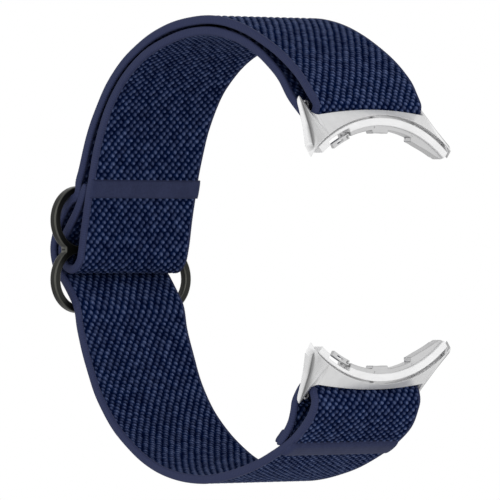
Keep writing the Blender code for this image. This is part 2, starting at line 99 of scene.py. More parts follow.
def turn_points(sign):
    """The webbing's outer face round a spring bar; the lower fold hangs fuller than the upper one."""
    out = []
    if sign < 0:
        return ((-3.1, -23.4), (-3.2, -22.1), (-3.6, -21.2), (-4.15, -20.5), (-4.9, -20.0), (-5.75, -19.85),
                (-6.73, -20.08), (-7.35, -20.56))
    for degrees, slack in ((12, 1), (-14, 1), (-40, 1), (-66, 1), (-90, 1), (-96, 0), (-117, 0), (-138, 0)):
        angle = math.radians(degrees)
        out.append((BAR_X + FOLD_SLACK * slack + WRAP_RADIUS * math.cos(angle),
                    sign * (BAR_Z - 0.15 * slack + WRAP_RADIUS * math.sin(angle))))
    return tuple(out)


def smooth_route(points, spacing):
    """Centripetal Catmull-Rom curve through the waypoints, read at even steps. Returns (n, 2)."""
    pts = np.array(points, float)
    pts = np.vstack([2 * pts[0] - pts[1], pts, 2 * pts[-1] - pts[-2]])
    dense = []
    for i in range(1, len(pts) - 2):
        p0, p1, p2, p3 = pts[i - 1: i + 3]
        t0 = 0.0
        t1 = t0 + np.linalg.norm(p1 - p0) ** 0.5
        t2 = t1 + np.linalg.norm(p2 - p1) ** 0.5
        t3 = t2 + np.linalg.norm(p3 - p2) ** 0.5
        for k in range(32):
            t = t1 + (t2 - t1) * k / 32
            a1 = p0 + (p1 - p0) * (t - t0) / (t1 - t0)
            a2 = p1 + (p2 - p1) * (t - t1) / (t2 - t1)
            a3 = p2 + (p3 - p2) * (t - t2) / (t3 - t2)
            b1 = a1 + (a2 - a1) * (t - t0) / (t2 - t0)
            b2 = a2 + (a3 - a2) * (t - t1) / (t3 - t1)
            dense.append(b1 + (b2 - b1) * (t - t1) / (t2 - t1))
    dense.append(pts[-2])
    dense = np.array(dense)
    length = np.concatenate([[0.0], np.cumsum(np.linalg.norm(np.diff(dense, axis=0), axis=1))])
    s = np.linspace(0.0, length[-1], max(3, int(round(length[-1] / spacing)) + 1))
    return np.stack([np.interp(s, length, dense[:, 0]), np.interp(s, length, dense[:, 1])], 1), s


def left_normals(pts):
    ahead = np.gradient(pts, axis=0)
    ahead /= np.linalg.norm(ahead, axis=1)[:, None]
    return np.stack([-ahead[:, 1], ahead[:, 0]], 1)


def random_cell(i, j, seed):
    """A repeatable number from 0 to 1 for each cell of the weave."""
    v = np.sin(i * 127.1 + j * 311.7 + seed * 74.7) * 43758.5453
    return v - np.floor(v)


LEAN = 0.614                # the twill line's slope, radians
FLOAT_ALONG, FLOAT_ACROSS = 0.395, 0.53     # half a float's size along the twill line, and across it


def weave(s, y, hand, along=CELL_ALONG, across=CELL_ACROSS):
    """Height from 0 in the valleys to 1 on the crown of a float, and a tone for each float.
    Floats lie on a three-pick twill: each pick steps a third of the way to the next float."""
    u = s / (3 * along) + hand * y / across
    v = 2 * s / (3 * along) - hand * y / across
    iu, iv = np.round(u), np.round(v)
    height = np.zeros_like(s)
    tone = np.zeros_like(s)
    best = np.full_like(s, 1e9)
    for du in (-1, 0, 1):
        for dv in (-1, 0, 1):
            ci, cj = iu + du, iv + dv
            jitter_s = 0.13 * (random_cell(ci, cj, 1) - 0.5)
            jitter_y = 0.14 * (random_cell(ci, cj, 2) - 0.5)
            lean = LEAN + 0.5 * (random_cell(ci, cj, 3) - 0.5)
            size = 0.86 + 0.24 * random_cell(ci, cj, 4)
            a = u - ci
            b = v - cj
            ds = along * (a + b) - jitter_s
            dy = hand * across * (2 * a - b) / 3 - jitter_y
            c, n = np.cos(lean), np.sin(lean)
            p = ds * c - hand * dy * n
            q = ds * n * hand + dy * c
            r2 = (p / (FLOAT_ALONG * size)) ** 2 + (q / (FLOAT_ACROSS * size)) ** 2
            dome = np.sqrt(np.clip(1.0 - r2, 0.0, 1.0))
            near = r2 < best
            tone = np.where(near, random_cell(ci, cj, 5), tone)
            best = np.minimum(best, r2)
            height = np.maximum(height, dome)
    return height, tone


def edge_profile(selvedge):
    """Across one selvedge, from the woven body out over the edge towards the other face:
    (distance in from the edge, depth below the face)."""
    r = 0.34
    out = [(selvedge, 0.10)]
    if selvedge > 0.5:
        out += [(selvedge - 0.07, 0.03), (0.4, -0.004)]
    for k in range(1, 7):
        a = math.radians(90 * k / 6)
        out.append((r - r * math.sin(a), r - r * math.cos(a)))
    return out


def strap(name, route, run, fine=(True, True)):
    """One run of the webbing: its first face on the route and its thickness to the right of travel.
    route is (points, lengths, normals); run is the first and last row."""
    pts, s, normal = (v[run[0]: run[1] + 1] for v in route)
    rows = len(pts)
    hands = (1, -1)
    cells = ((CELL_ALONG, CELL_ACROSS), (CELL_ALONG, CELL_ACROSS))
    near_body, far_body = REACH[0] - SELVEDGE[0], REACH[1] - SELVEDGE[1]
    wide = near_body + far_body
    counts = [int(round(wide / (STEP_ACROSS if f else 0.42))) for f in fine]
    near, far = edge_profile(SELVEDGE[0]), edge_profile(SELVEDGE[1])
    back = WEB_THICK - 0.05
    ys, depths, faces, bodies = [], [], [], []

    def put(y, depth, face, is_body):
        ys.append(y)
        depths.append(depth)
        faces.append(face)
        bodies.append(is_body)

    for k in range(counts[0] + 1):
        put(-near_body + wide * k / counts[0], 0.10, 0, 1.0)
    for d, depth in far[1:]:
        put(REACH[1] - d, depth, 0, 0.0)
    for d, depth in far[:0:-1]:
        put(REACH[1] - d, back - depth, 1, 0.0)
    for k in range(counts[1] + 1):
        put(far_body - wide * k / counts[1], back - 0.10, 1, 1.0)
    for d, depth in near[1:]:
        put(-REACH[0] + d, back - depth, 1, 0.0)
    for d, depth in near[:0:-1]:
        put(-REACH[0] + d, depth, 0, 0.0)
    ys, depths, faces, bodies = (np.array(v, float) for v in (ys, depths, faces, bodies))
    ring = len(ys)
    S = np.repeat(s[:, None], ring, 1)
    Y = np.repeat(ys[None], rows, 0)
    D = np.repeat(depths[None], rows, 0)
    face = np.repeat(faces[None], rows, 0)
    is_body = np.repeat(bodies[None], rows, 0)
    inward = np.minimum(far_body - Y, Y + near_body)      # from the nearer selvedge into the body
    height = np.zeros_like(S)
    tone = np.zeros_like(S)
    for f in (0, 1):
        h, t = weave(S, Y, hands[f], *cells[f])
        pick = (face == f)
        height = np.where(pick, h, height)
        tone = np.where(pick, t, tone)
    # the weave runs out into the smooth selvedge
    run_in = np.clip(inward / 0.2, 0.0, 1.0)
    lift = (height - 0.62) * RELIEF * is_body * (0.35 + 0.65 * run_in)
    groove = 0.05 * is_body * np.exp(-(inward / 0.2) ** 2)
    D = D + np.where(face == 0, -lift + groove, lift - groove)
    # a fine cross ribbing on the selvedges, and a slow waviness in the edge itself
    rib = 0.012 * np.sin(2 * math.pi * S / 0.42) * (1 - is_body)
    D = D + np.where(face == 0, rib, -rib)
    sway = 0.02 * np.sin(S * 0.9) + 0.02 * np.sin(S * 0.37 + 1.0)
    Y = Y + sway * (1 - is_body) * np.sign(Y)
    gather = np.clip((np.where(pts[:, 1] > 0, 26.0, 27.8) - np.abs(pts[:, 1])) / 3.4, 0.0, 1.0)
    gather = DRAWN_IN * gather * gather * (3 - 2 * gather) * np.clip((pts[:, 0] + 13.0) / 3.0, 0.0, 1.0)
    Y = np.where(Y > 0, Y * (1 - gather[:, None] / REACH[1]), Y)
    # the sewn ends thin out to a soft edge
    thin = np.clip(np.minimum(S - route[1][0], route[1][-1] - S) / 1.6, 0.0, 1.0)
    thin = 0.3 + 0.7 * np.sqrt(thin * (2 - thin))
    D = back / 2 + (D - back / 2) * thin
    X = pts[:, 0][:, None] + normal[:, 0][:, None] * D
    Z = pts[:, 1][:, None] + normal[:, 1][:, None] * D
    co = np.stack([X, Y, Z], -1).reshape(-1, 3) * MM

    i = np.arange(rows - 1)[:, None]
    j = np.arange(ring)[None]
    a = i * ring + j
    b = i * ring + (j + 1) % ring
    quads = np.stack([a, b, b + ring, a + ring], -1).reshape(-1, 4)
    quads = quads[:, ::-1]
    mesh = bpy.data.meshes.new(name)
    first = list(range(ring))
    last = [(rows - 1) * ring + k for k in range(ring)]
    caps = [first, last[::-1]]
    n_quads = len(quads)
    mesh.vertices.add(len(co))
    mesh.vertices.foreach_set("co", co.astype(np.float32).ravel())
    loops = np.concatenate([quads.ravel(), np.array(caps[0]), np.array(caps[1])]).astype(np.int32)
    starts = np.concatenate([np.arange(n_quads) * 4, [n_quads * 4, n_quads * 4 + ring]]).astype(np.int32)
    mesh.loops.add(len(loops))
    mesh.loops.foreach_set("vertex_index", loops)
    mesh.polygons.add(n_quads + 2)
    mesh.polygons.foreach_set("loop_start", starts)
    mesh.update(calc_edges=True)
    mesh.validate()
    store(mesh, "weave", np.where(is_body > 0, height, 0.0))
    store(mesh, "tone", tone)
    body_mask = is_body * np.clip(inward / 0.10, 0.0, 1.0)
    store(mesh, "edge", 1.0 - body_mask)
    lay = mesh.attributes.new("lay", "FLOAT_VECTOR", "POINT")
    lay.data.foreach_set("vector", np.stack([S, Y, face * 40.0], -1).reshape(-1, 3).astype(np.float32).ravel())
    mesh.shade_smooth()
    mesh.materials.append(WEBBING)
    obj = bpy.data.objects.new(name, mesh)
    bpy.context.scene.collection.objects.link(obj)
    return obj


def store(mesh, name, values):
    attribute = mesh.attributes.new(name, "FLOAT", "POINT")
    attribute.data.foreach_set("value", np.asarray(values, np.float32).ravel())


# ---- node material helpers ----------------------------------------------------------------------
class Nodes:
    """A short way to write a node tree: n = Nodes(material); n("Kind", input=value or socket)."""

    def __init__(self, mat):
        mat.use_nodes = True
        self.tree = mat.node_tree
        self.tree.nodes.clear()

    def __call__(self, kind, out=0, props=None, **inputs):
        node = self.tree.nodes.new("ShaderNode" + kind)
        for key, value in (props or {}).items():
            setattr(node, key, value)
        for key, value in inputs.items():
            key = key.replace("_", " ") if not key.startswith("i_") else int(key[2:])
            socket = node.inputs[key]
            if isinstance(value, bpy.types.NodeSocket):
                self.tree.links.new(value, socket)
            elif isinstance(value, (tuple, list)) and len(value) == 3 and socket.type == "RGBA":
                socket.default_value = (*value, 1.0)
            else:
                socket.default_value = value
        return node.outputs[out]

    def math(self, operation, a, b=0.0, c=0.0, clamp=False):
        return self("Math", props={"operation": operation, "use_clamp": clamp}, i_0=a, i_1=b, i_2=c)

    def mix(self, fac, a, b, kind="MIX"):
        node = self.tree.nodes.new("ShaderNodeMix")
        node.data_type = "RGBA"
        node.blend_type = kind
        for index, value in ((0, fac), (6, a), (7, b)):
            socket = node.inputs[index]
            if isinstance(value, bpy.types.NodeSocket):
                self.tree.links.new(value, socket)
            elif isinstance(value, (tuple, list)):
                socket.default_value = (*value, 1.0)
            else:
                socket.default_value = value
        return node.outputs[2]

    def ramp(self, fac, stops, interpolation="LINEAR"):
        node = self.tree.nodes.new("ShaderNodeValToRGB")
        node.color_ramp.interpolation = interpolation
        elements = node.color_ramp.elements
        while len(elements) < len(stops):
            elements.new(0.5)
        for element, (place, colour) in zip(elements, stops):
            element.position = place
            element.color = (*colour, 1.0)
        self.tree.links.new(fac, node.inputs[0])
        return node.outputs[0]

    def span(self, value, a, b, to_a=0.0, to_b=1.0, smooth=False):
        node = self.tree.nodes.new("ShaderNodeMapRange")
        node.interpolation_type = "SMOOTHSTEP" if smooth else "LINEAR"
        self.tree.links.new(value, node.inputs[0])
        for index, v in zip((1, 2, 3, 4), (a, b, to_a, to_b)):
            node.inputs[index].default_value = v
        return node.outputs[0]

    def attribute(self, name, out="Fac"):
        node = self.tree.nodes.new("ShaderNodeAttribute")
        node.attribute_name = name
        return node.outputs[out]

    def finish(self, shader):
        out = self.tree.nodes.new("ShaderNodeOutputMaterial")
        self.tree.links.new(shader, out.inputs[0])


def webbing_material(name):
    mat = bpy.data.materials.new(name)
    n = Nodes(mat)
    height = n.attribute("weave")
    tone = n.attribute("tone")
    edge = n.attribute("edge")
    lay = n.attribute("lay", "Vector")
    cloudy = n("TexNoise", Vector=lay, Scale=0.55, Detail=3.0, Roughness=0.6)
    speck = n("TexNoise", Vector=lay, Scale=4.2, Detail=2.0, Roughness=0.7)
    strands = n("TexWave", props={"wave_type": "BANDS", "bands_direction": "Y"}, out=1, Vector=lay,
                Scale=1.15, Distortion=1.6, Detail=2.0, Detail_Scale=1.4)
    crown = n.math("ADD", height, n.math("MULTIPLY", n.math("SUBTRACT", strands, 0.5), 0.16))
    crown = n.math("ADD", crown, n.math("MULTIPLY", n.math("SUBTRACT", speck, 0.5), 0.22))
    # painted shade and highlight: the yarn colour runs from near black in the valleys between floats, where shade
    # falls, to light on the crowns of the floats
    yarn_and_painted_shade = n.ramp(crown, [(0.0, (0.0004, 0.0042, 0.0265)), (0.45, (0.0041, 0.0107, 0.0445)),
                          (0.70, (0.0160, 0.0275, 0.0800)), (0.9, (0.042, 0.060, 0.140)),
                          (1.0, (0.075, 0.104, 0.215))])
    yarn_and_painted_shade = n.mix(1.0, yarn_and_painted_shade, n.ramp(tone, [(0.0, (0.60, 0.63, 0.70)), (1.0, (1.34, 1.30, 1.22))]), "MULTIPLY")
    yarn_and_painted_shade = n.mix(1.0, yarn_and_painted_shade, n.ramp(cloudy, [(0.3, (0.9, 0.9, 0.92)), (0.7, (1.1, 1.1, 1.08))]), "MULTIPLY")
    threads = n("TexWave", props={"wave_type": "BANDS", "bands_direction": "X"}, out=1, Vector=lay,
                Scale=0.85, Distortion=2.2, Detail=2.0, Detail_Scale=2.0)
    smooth_edge = n.ramp(threads, [(0.0, (0.0215, 0.0285, 0.076)), (1.0, (0.0280, 0.0360, 0.092))])
    smooth_edge = n.mix(1.0, smooth_edge, n.ramp(speck, [(0.3, (0.88, 0.88, 0.9)), (0.7, (1.1, 1.1, 1.1))]), "MULTIPLY")
    colour = n.mix(edge, yarn_and_painted_shade, smooth_edge)
    rough = n.math("ADD", 0.80, n.math("MULTIPLY", edge, -0.12))
    grain = n.math("ADD", n.math("MULTIPLY", strands, n.math("SUBTRACT", 1.0, edge)),
                   n.math("MULTIPLY", threads, n.math("MULTIPLY", edge, 0.6)))
    grain = n.math("ADD", grain, n.math("MULTIPLY", speck, 0.8))
    bump = n("Bump", Strength=0.55, Distance=0.00003, Height=grain)
    # the gaps between floats, painted dark as shade above, take no shine
    shine = n("Math", props={"operation": "MAXIMUM"}, i_0=n.math("MULTIPLY", height, height), i_1=edge)
    shader = n("BsdfPrincipled", Base_Color=colour, Roughness=rough, Normal=bump,
               Specular_IOR_Level=n.math("MULTIPLY", shine, 0.16),
               Sheen_Weight=n.math("MULTIPLY", shine, 0.05), Sheen_Roughness=0.5,
               Sheen_Tint=(0.55, 0.62, 0.95))
    n.finish(shader)
    mat.diffuse_color = (0.01, 0.022, 0.085, 1.0)
    return mat


def seam_material(name):
    mat = bpy.data.materials.new(name)
    n = Nodes(mat)
    place = n("TexCoord", out=3)
    speck = n("TexNoise", Vector=place, Scale=2600.0, Detail=3.0, Roughness=0.65)
    cloudy = n("TexNoise", Vector=place, Scale=420.0, Detail=2.0)
    across = n("TexWave", props={"wave_type": "BANDS", "bands_direction": "Z"}, out=1, Vector=place,
               Scale=900.0, Distortion=1.5, Detail=2.0)
    colour = n.ramp(cloudy, [(0.3, (0.0200, 0.0262, 0.070)), (0.7, (0.0255, 0.0330, 0.084))])
    colour = n.mix(1.0, colour, n.ramp(speck, [(0.3, (0.86, 0.86, 0.88)), (0.7, (1.12, 1.12, 1.1))]), "MULTIPLY")
    grain = n.math("ADD", speck, n.math("MULTIPLY", across, 0.5))
    bump = n("Bump", Strength=0.5, Distance=0.00003, Height=grain)
    shader = n("BsdfPrincipled", Base_Color=colour, Roughness=0.7, Normal=bump, Specular_IOR_Level=0.16,
               Sheen_Weight=0.05, Sheen_Roughness=0.5, Sheen_Tint=(0.55, 0.62, 0.95))
    n.finish(shader)
    mat.diffuse_color = (0.028, 0.032, 0.092, 1.0)
    return mat


def metal_material(name, colour, roughness, spread, scratch=0.3, direction=(1, 1, 1), edge_lift=0.0, base=1.0,
                   polish_and_painted_light=False):
    """Metal with fine drawn scratches, faint cloudiness and, if asked for, edges lightened as a painted highlight."""
    mat = bpy.data.materials.new(name)
    n = Nodes(mat)
    place = n("TexCoord", out=3)
    stretched = n("Mapping", Vector=place, Scale=tuple(900.0 * d for d in direction))
    lines = n("TexNoise", Vector=stretched, Scale=1.0, Detail=4.0, Roughness=0.7)
    cloudy = n("TexNoise", Vector=place, Scale=160.0, Detail=3.0)
    low = tuple(c * 0.93 for c in colour)
    tint = n.ramp(cloudy, [(0.35, low), (0.65, colour)])
    tint = n.mix(1.0, tint, n.ramp(lines, [(0.3, (0.95, 0.95, 0.95)), (0.7, (1.03, 1.03, 1.03))]), "MULTIPLY")
    if edge_lift > 0:
        # painted highlight: edges found by pointiness are lightened
        edge = n("NewGeometry", out=7)
        edge_highlight = n.span(edge, 0.51, 0.60, 0.0, edge_lift)
        tint = n.mix(edge_highlight, tint, tuple(min(1.0, c * 2.6 + 0.05) for c in colour))
    rough = n.math("ADD", roughness, n.math("MULTIPLY", n.math("SUBTRACT", lines, 0.5), spread))
    metallic = base
    if polish_and_painted_light:
        polish = n.attribute("polish")
        # painted light on the ears: their base colour is lifted a little as a painted highlight beside their polish,
        # and darkened along the front crease as a painted reflection
        ear_painted_light = n.math("SUBTRACT", n.math("ADD", 1.0, n.math("MULTIPLY", polish, 0.13)),
                        n.math("MULTIPLY", n.attribute("ear_painted_light"), 0.70))
        shade = n("CombineXYZ", X=ear_painted_light, Y=ear_painted_light, Z=ear_painted_light)
        tint = n.mix(1.0, tint, shade, "MULTIPLY")
        metallic = n.math("ADD", base, n.math("MULTIPLY", polish, 0.38))
        rough = n.math("SUBTRACT", rough, n.math("MULTIPLY", polish, 0.12))
    bump = n("Bump", Strength=scratch, Distance=0.000006, Height=lines)
    shader = n("BsdfPrincipled", Base_Color=tint, Metallic=metallic, Roughness=rough, Normal=bump)
    n.finish(shader)
    mat.diffuse_color = (*colour, 1.0)
    return mat


WEBBING = webbing_material("woven_webbing")
SEAM = seam_material("pressed_seam")
GUNMETAL = metal_material("gunmetal_slider", (0.025, 0.026, 0.023), 0.36, 0.10, 0.25, (0.3, 1, 1), base=0.8)
# painted highlight: a lighter copy of the slider's gunmetal, put on its rounded edges to stand for the highlight line
# along them
GUNMETAL_EDGE_HIGHLIGHT = metal_material("gunmetal_slider_painted_edge_highlight", (0.125, 0.126, 0.112), 0.3, 0.10, 0.2, (0.3, 1, 1), base=0.8)
POLISHED = metal_material("polished_shell", (0.88, 0.88, 0.885), 0.36, 0.08, 0.12, (0.2, 1, 0.2), base=0.5,
                          polish_and_painted_light=True)
SATIN = metal_material("satin_rail", (0.95, 0.95, 0.955), 0.30, 0.10, 0.35, (0.3, 0.3, 1.6), base=0.35)
SATIN_LUG = metal_material("satin_lug_plate", (0.68, 0.68, 0.685), 0.34, 0.12, 0.35, (0.3, 0.3, 1.6))
SPRING = metal_material("spring_steel_parts", (0.66, 0.66, 0.665), 0.26, 0.10, 0.3, (1, 0.2, 1))

# ---- the two runs of webbing --------------------------------------------------------------------
# one continuous ribbon: from the short lower return round the lower bar, along the outside up the
# back and over the top, round the upper bar, back down the inside and round the slider's bar
ribbon = (*LOWER_BACK[::-1], *turn_points(-1)[::-1], *LOWER_OUT[::-1], (-26.8, -35.9),
          *THROUGH_ROUTE[:-1][::-1], *UPPER_OUT, *turn_points(1), *UPPER_BACK, *LOOP_ROUTE)
route_pts, route_s = smooth_route(ribbon, STEP_ALONG)
route = (route_pts, route_s, -left_normals(route_pts))


def row_near(x, z):
    return int(np.argmin(np.hypot(route_pts[:, 0] - x, route_pts[:, 1] - z)))


at_bulge, at_bar = row_near(-67.35, 0.0), row_near(BAR_X + 0.6, BAR_Z - 2.1)
lower_run = strap("band_lower", route, (0, at_bulge))
upper_outer = strap("band_upper_outer", route, (at_bulge, at_bar), fine=(True, False))
upper_inner = strap("band_upper_inner_and_slider_loop", route, (at_bar, len(route_pts) - 1),
                    fine=(True, False))
print("webbing length, mm:", round(float(route_s[-1]), 1), "of which lower", round(float(route_s[at_bulge]), 1))


def seam_bar(name, route, spacing, nearest, side, length, proud, far=0.0):
    """A smooth pressed bar across the webbing, standing on the route's face; side is the
    direction that it stands out, +1 to the left of travel."""
    pts, s = smooth_route(route, spacing)
    normal = left_normals(pts) * side
    index = int(np.argmin(np.hypot(pts[:, 0] - nearest[0], pts[:, 1] - nearest[1])))
    middle = s[index]
    along = np.linspace(-length / 2, length / 2, 25)
    p = np.stack([np.interp(middle + along, s, pts[:, k]) for k in (0, 1)], 1)
    nm = np.stack([np.interp(middle + along, s, normal[:, k]) for k in (0, 1)], 1)
    nm /= np.linalg.norm(nm, axis=1)[:, None]
    u = along / (length / 2)
    crown = proud * (1 - np.abs(u) ** 5) ** 0.55
    wide = HALF + 0.20
    across = np.concatenate([np.linspace(-wide, -wide + 1.1, 9)[:-1],
                             np.linspace(-wide + 1.1, wide - 1.1, 41),
                             np.linspace(wide - 1.1, wide, 9)[1:]])
    e = (wide - np.abs(across)) / 0.75
    roll = np.where(e < 1, np.sqrt(np.clip(1 - (1 - e) ** 2, 0, 1)), 1.0)
    top = crown[:, None] * roll[None] + 0.012 * np.sin(across[None] * 3.1 + along[:, None] * 2.0) * roll[None]
    low = np.full_like(top, -0.42) * (0.3 + 0.7 * roll[None])
    rows, cols = top.shape
    across = across + np.where(across > 0, across / wide * far, 0.0)
    co = []
    for layer in (top, low):
        co.append(np.stack([p[:, 0][:, None] + nm[:, 0][:, None] * layer,
                            np.repeat(across[None], rows, 0),
                            p[:, 1][:, None] + nm[:, 1][:, None] * layer], -1).reshape(-1, 3))
    co = np.vstack(co) * MM
    bm = bmesh.new()
    verts = [bm.verts.new(c) for c in co]
    base = rows * cols
    for i in range(rows - 1):
        for j in range(cols - 1):
            a, b, c, d = i * cols + j, i * cols + j + 1, (i + 1) * cols + j + 1, (i + 1) * cols + j
            bm.faces.new((verts[a], verts[b], verts[c], verts[d]))
            bm.faces.new((verts[base + d], verts[base + c], verts[base + b], verts[base + a]))
    for i in range(rows - 1):
        for j in (0, cols - 1):
            a, d = i * cols + j, (i + 1) * cols + j
            bm.faces.new((verts[a], verts[d], verts[base + d], verts[base + a]))
    for j in range(cols - 1):
        for i in (0, rows - 1):
            a, b = i * cols + j, i * cols + j + 1
            bm.faces.new((verts[a], verts[b], verts[base + b], verts[base + a]))
    bmesh.ops.recalc_face_normals(bm, faces=bm.faces)
    mesh = bpy.data.meshes.new(name)
    bm.to_mesh(mesh)
    bm.free()
    mesh.shade_smooth()
    mesh.materials.append(SEAM)
    obj = bpy.data.objects.new(name, mesh)
    bpy.context.scene.collection.objects.link(obj)
    return obj


slider_seam = seam_bar("slider_seam_bar", LOOP_ROUTE, 0.2, (-56.95, 9.48), 1, 2.95, 0.42, 0.3)
lower_outer_seam = seam_bar("lower_seam_bar_outer", ((-26.8, -35.9), *LOWER_OUT), 0.2, (-9.95, -30.1), -1, 3.35, 0.60, -0.35)
lower_inner_seam = seam_bar("lower_seam_bar_inner", LOWER_BACK, 0.2, (-11.7, -28.3), -1, 2.5, 0.50)


# ---- plates -------------------------------------------------------------------------------------
def arc(radius, start_deg, end_deg, steps, centre=(0.0, 0.0)):
    """Points on a circle in the YZ plane; angles are measured from +Z towards +Y."""
    out = []
    for k in range(steps + 1):
        angle = math.radians(start_deg + (end_deg - start_deg) * k / steps)
        out.append((centre[0] + radius * math.sin(angle), centre[1] + radius * math.cos(angle)))
    return out


def flat_plate(name, outlines, x_mid, half_thick, mat, bevel, segments, angle=40.0):
    """Closed outlines of (y, z) filled and extruded along X, with its edges rounded."""
    curve = bpy.data.curves.new(name + "_outline", "CURVE")
    curve.dimensions = "2D"
    curve.fill_mode = "BOTH"
    curve.extrude = half_thick * MM
    for outline in outlines:
        spline = curve.splines.new("POLY")
        spline.points.add(len(outline) - 1)
        spline.use_cyclic_u = True
        for point, (y, z) in zip(spline.points, outline):
            point.co = (y * MM, z * MM, 0.0, 1.0)
    holder = bpy.data.objects.new(name + "_curve", curve)
    bpy.context.scene.collection.objects.link(holder)
    place = Matrix.Translation((x_mid * MM, 0, 0)) @ Matrix(
        ((0, 0, 1, 0), (1, 0, 0, 0), (0, 1, 0, 0), (0, 0, 0, 1)))
    bpy.context.view_layer.update()
    mesh = bpy.data.meshes.new_from_object(holder.evaluated_get(bpy.context.evaluated_depsgraph_get()))
    bpy.data.objects.remove(holder, do_unlink=True)
    mesh.name = name
    mesh.transform(place)
    bm = bmesh.new()
    bm.from_mesh(mesh)
    bmesh.ops.remove_doubles(bm, verts=bm.verts, dist=0.0000005)
    bmesh.ops.dissolve_limit(bm, angle_limit=0.0005, verts=bm.verts, edges=bm.edges)
    bmesh.ops.recalc_face_normals(bm, faces=bm.faces)
    bm.to_mesh(mesh)
    bm.free()
    mesh.materials.clear()
    mesh.materials.append(mat)
    obj = bpy.data.objects.new(name, mesh)
    bpy.context.scene.collection.objects.link(obj)
    mod = obj.modifiers.new("rounding", "BEVEL")
    mod.width = bevel * MM
    mod.segments = segments
    mod.limit_method = "ANGLE"
    mod.angle_limit = math.radians(angle)
    mod.harden_normals = False
    mesh.shade_smooth()
    smooth = mesh
    smooth.set_sharp_from_angle(angle=math.radians(32))
    return obj


def ring_outline(half_width, radius, centre_z, steps=22):
    reach = half_width - radius
    right = [(reach + radius * math.sin(math.radians(a)), centre_z + radius * math.cos(math.radians(a)))
             for a in [180 * k / steps for k in range(steps + 1)]]
    return right + [(-y, z) for y, z in reversed(right)]


def figure_eight(half_width, radius, centre_z, steps=26):
    reach = half_width - radius
    low = math.degrees(math.acos((CUSP_HALF - centre_z) / radius))
    upper = [(reach + radius * math.sin(math.radians(a)), centre_z + radius * math.cos(math.radians(a)))
             for a in [low * k / steps for k in range(steps + 1)]]
    right = upper + [(CUSP_REACH, 0.0)] + [(y, -z) for y, z in reversed(upper)]
    return right + [(-y, z) for y, z in reversed(right)]


slider = flat_plate(
    "slider_double_ring",
    [figure_eight(SLIDER_HALF, RING_RADIUS, RING_OFFSET),
     ring_outline(SLIDER_HALF - RING_WIRE, RING_RADIUS - RING_WIRE, RING_OFFSET),
     ring_outline(SLIDER_HALF - RING_WIRE, RING_RADIUS - RING_WIRE, -RING_OFFSET)],
    SLIDER_X, SLIDER_THICK / 2, GUNMETAL, 0.20, 3)
# the rounded edges take the lighter gunmetal, a painted highlight
slider.data.materials.append(GUNMETAL_EDGE_HIGHLIGHT)
slider.modifiers["rounding"].material = 1


# ---- adapters -----------------------------------------------------------------------------------
PLATE_TOP = 21.35
EAR_START = 10.95
EAR_TIP = 23.3
EAR_INNER, EAR_OUTER = 11.35, 11.6
EAR_SLOPE = ((11.6, 23.3), (11.95, 21.85), (12.8, 18.8), (13.87, 16.0))
SHELL_HALF = 13.87


def back_line(z):
    line = ((14.0, -1.3), (14.8, -1.8), (17.6, -3.5), (20.05, -5.05), (22.3, -6.55), (23.3, -7.0))
    for (za, xa), (zb, xb) in zip(line, line[1:]):
        if z <= zb:
            return xa + (xb - xa) * (z - za) / (zb - za)
    return line[-1][1]


def shell_corners(y):
    """The shell's section at distance y from the middle: seven corners in XZ."""
    rim = math.sqrt(CASE_RIM_RADIUS ** 2 - y * y)
    if y <= EAR_START:
        k = (y / EAR_START) ** 2
        top = PLATE_TOP - 0.85 * k
        front = (-2.3 - 0.3 * k, top)
        back = (-2.45 - 0.3 * k, top - 0.42)
        waist = (-2.45 - 0.5 * k, (top - 0.42) * (1 - 0.5 * k) + (rim + 0.1) * 0.5 * k)
        foot = (-2.25 - 0.45 * k, rim)
        toe = (-1.2, rim)
        crown = ((front[0] + back[0]) / 2 - 0.02, top - 0.12)
        waist = (waist[0], min(waist[1], back[1] - 0.08))
        foot = (foot[0], min(foot[1], waist[1] - 0.05))
    else:
        if y <= EAR_INNER:
            top = 20.5 + (EAR_TIP - 20.5) * (y - EAR_START) / (EAR_INNER - EAR_START)
        elif y <= EAR_OUTER:
            top = EAR_TIP
        else:
            top = float(np.interp(y, [v[0] for v in EAR_SLOPE], [v[1] for v in EAR_SLOPE]))
        fx = -0.79 * (top - 15.6)
        thin = back_line(top - 0.35)
        front = (fx, top - 0.12)
        crown = ((fx + thin) / 2, top + 0.12)
        back = (thin, top - 0.42)
        waist_z = rim + (top - rim) * 0.45
        waist = (back_line(waist_z), waist_z)
        drop = max(0.0, (y - 12.6) / (SHELL_HALF - 12.6))
        foot = (back_line(rim) + 0.35 * drop, rim - 0.35 * drop)
        toe = (-1.0, rim - 1.25 * drop)
    return np.array([(0.0, rim), front, crown, back, waist, foot, toe])


def softened(y):
    """The section averaged over a short stretch, so that the ear's creases are rounded."""
    wide = 0.09
    total, weight = 0.0, 0.0
    for k in range(-4, 5):
        at = min(SHELL_HALF, abs(y + wide * k / 4))
        w = 1.0 - abs(k) / 5
        total = total + shell_corners(at) * w
        weight += w
    return total / weight


def rounded_section(corners, radii, per=7):
    """Each corner of a closed section replaced with a short curve, with a fixed point count."""
    out = []
    count = len(corners)
    for i in range(count):
        before, here, after = corners[i - 1], corners[i], corners[(i + 1) % count]
        to_a, to_b = before - here, after - here
        la, lb = np.linalg.norm(to_a), np.linalg.norm(to_b)
        pa = here + to_a / max(la, 1e-6) * min(radii[i], 0.42 * la)
        pb = here + to_b / max(lb, 1e-6) * min(radii[i], 0.42 * lb)
        for k in range(per):
            t = k / (per - 1)
            out.append((1 - t) ** 2 * pa + 2 * t * (1 - t) * here + t * t * pb)
        if i == 0:
            # the long front face, hollowed a little towards its middle
            nxt = corners[1]
            start = pb
            end_cut = min(radii[1], 0.42 * lb)
            end = nxt + (here - nxt) / max(lb, 1e-6) * end_cut
            for k in range(1, 8):
                t = k / 8
                out.append(start + (end - start) * t)
    return np.array(out)


